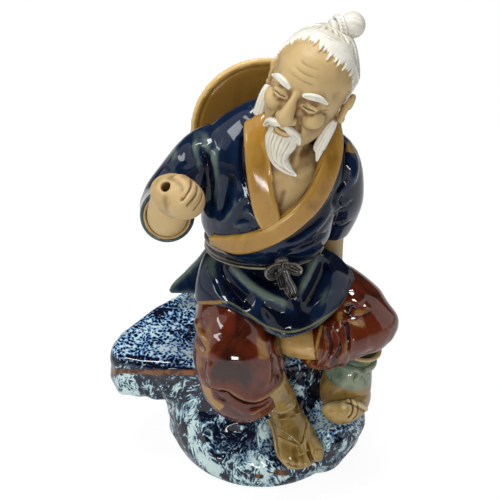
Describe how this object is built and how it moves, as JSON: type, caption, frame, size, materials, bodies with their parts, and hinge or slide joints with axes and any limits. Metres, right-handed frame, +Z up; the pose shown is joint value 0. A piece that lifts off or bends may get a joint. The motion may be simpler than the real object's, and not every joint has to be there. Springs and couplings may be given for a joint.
{
  "type": "seated fisherman figurine",
  "caption": "Glazed stoneware figurine of an old fisherman seated on a hollow rock, with a slung hat, creel and fish, for a shelf or desk.",
  "frame": {"origin": "middle of the plan outline, at the level the rock stands on", "axes": "+Z up, -Y the way the figure faces, +X towards its own left hand"},
  "size_m": [0.1656, 0.1174, 0.2766],
  "materials": {
    "rock_glaze": "glossy flambe glaze, dark blue with pale speckles and brown edges",
    "blue_glaze": "glossy dark blue glaze that breaks grey-green and tan on the folds",
    "ochre_glaze": "glossy ochre glaze",
    "brown_glaze": "glossy red-brown mottled glaze with ochre breaks",
    "black_glaze": "glossy black-brown glaze",
    "white_glaze": "satin white glaze",
    "honey_glaze": "glossy honey glaze",
    "creel_glaze": "tan belly with a glossy green neck",
    "fish_glaze": "thin cream glaze over bare clay",
    "bare_clay": "unglazed tan stoneware, matte"
  },
  "bodies": {
    "root": {"rock_base": "rock_glaze", "trouser_seat": "brown_glaze", "right_trouser_leg": "brown_glaze", "left_trouser_leg": "brown_glaze", "left_trouser_cuff": "brown_glaze", "right_shin_and_foot": "honey_glaze", "right_sandal_sole": "honey_glaze", "right_sandal_outer_strap": "honey_glaze", "right_sandal_inner_strap": "honey_glaze", "right_sandal_ankle_strap": "honey_glaze", "left_shin_and_foot": "bare_clay", "head": "bare_clay", "right_ear": "bare_clay", "left_ear": "bare_clay", "hair_cap": "white_glaze", "topknot": "white_glaze", "topknot_tie": "white_glaze", "right_brow": "white_glaze", "left_brow": "white_glaze", "beard": "white_glaze", "right_moustache": "white_glaze", "left_moustache": "white_glaze", "right_side_lock": "white_glaze", "left_side_lock": "white_glaze", "chest_and_neck": "bare_clay", "robe_jacket": "blue_glaze", "sash_belt": "black_glaze", "robe_front_flap": "blue_glaze", "robe_back_flap": "blue_glaze", "right_sleeve": "blue_glaze", "left_sleeve": "blue_glaze", "left_forearm_and_hand": "bare_clay", "right_forearm_and_fist": "bare_clay", "right_collar_band": "ochre_glaze", "left_collar_band": "ochre_glaze", "sash_knot": "black_glaze", "sash_right_loop": "black_glaze", "sash_left_loop": "black_glaze", "sash_long_tail": "black_glaze", "sash_short_tail": "black_glaze", "straw_hat": "ochre_glaze", "creel": "creel_glaze", "creel_cord": "honey_glaze", "fish": "fish_glaze", "fish_tail_fin": "fish_glaze"}
  },
  "joints": []
}
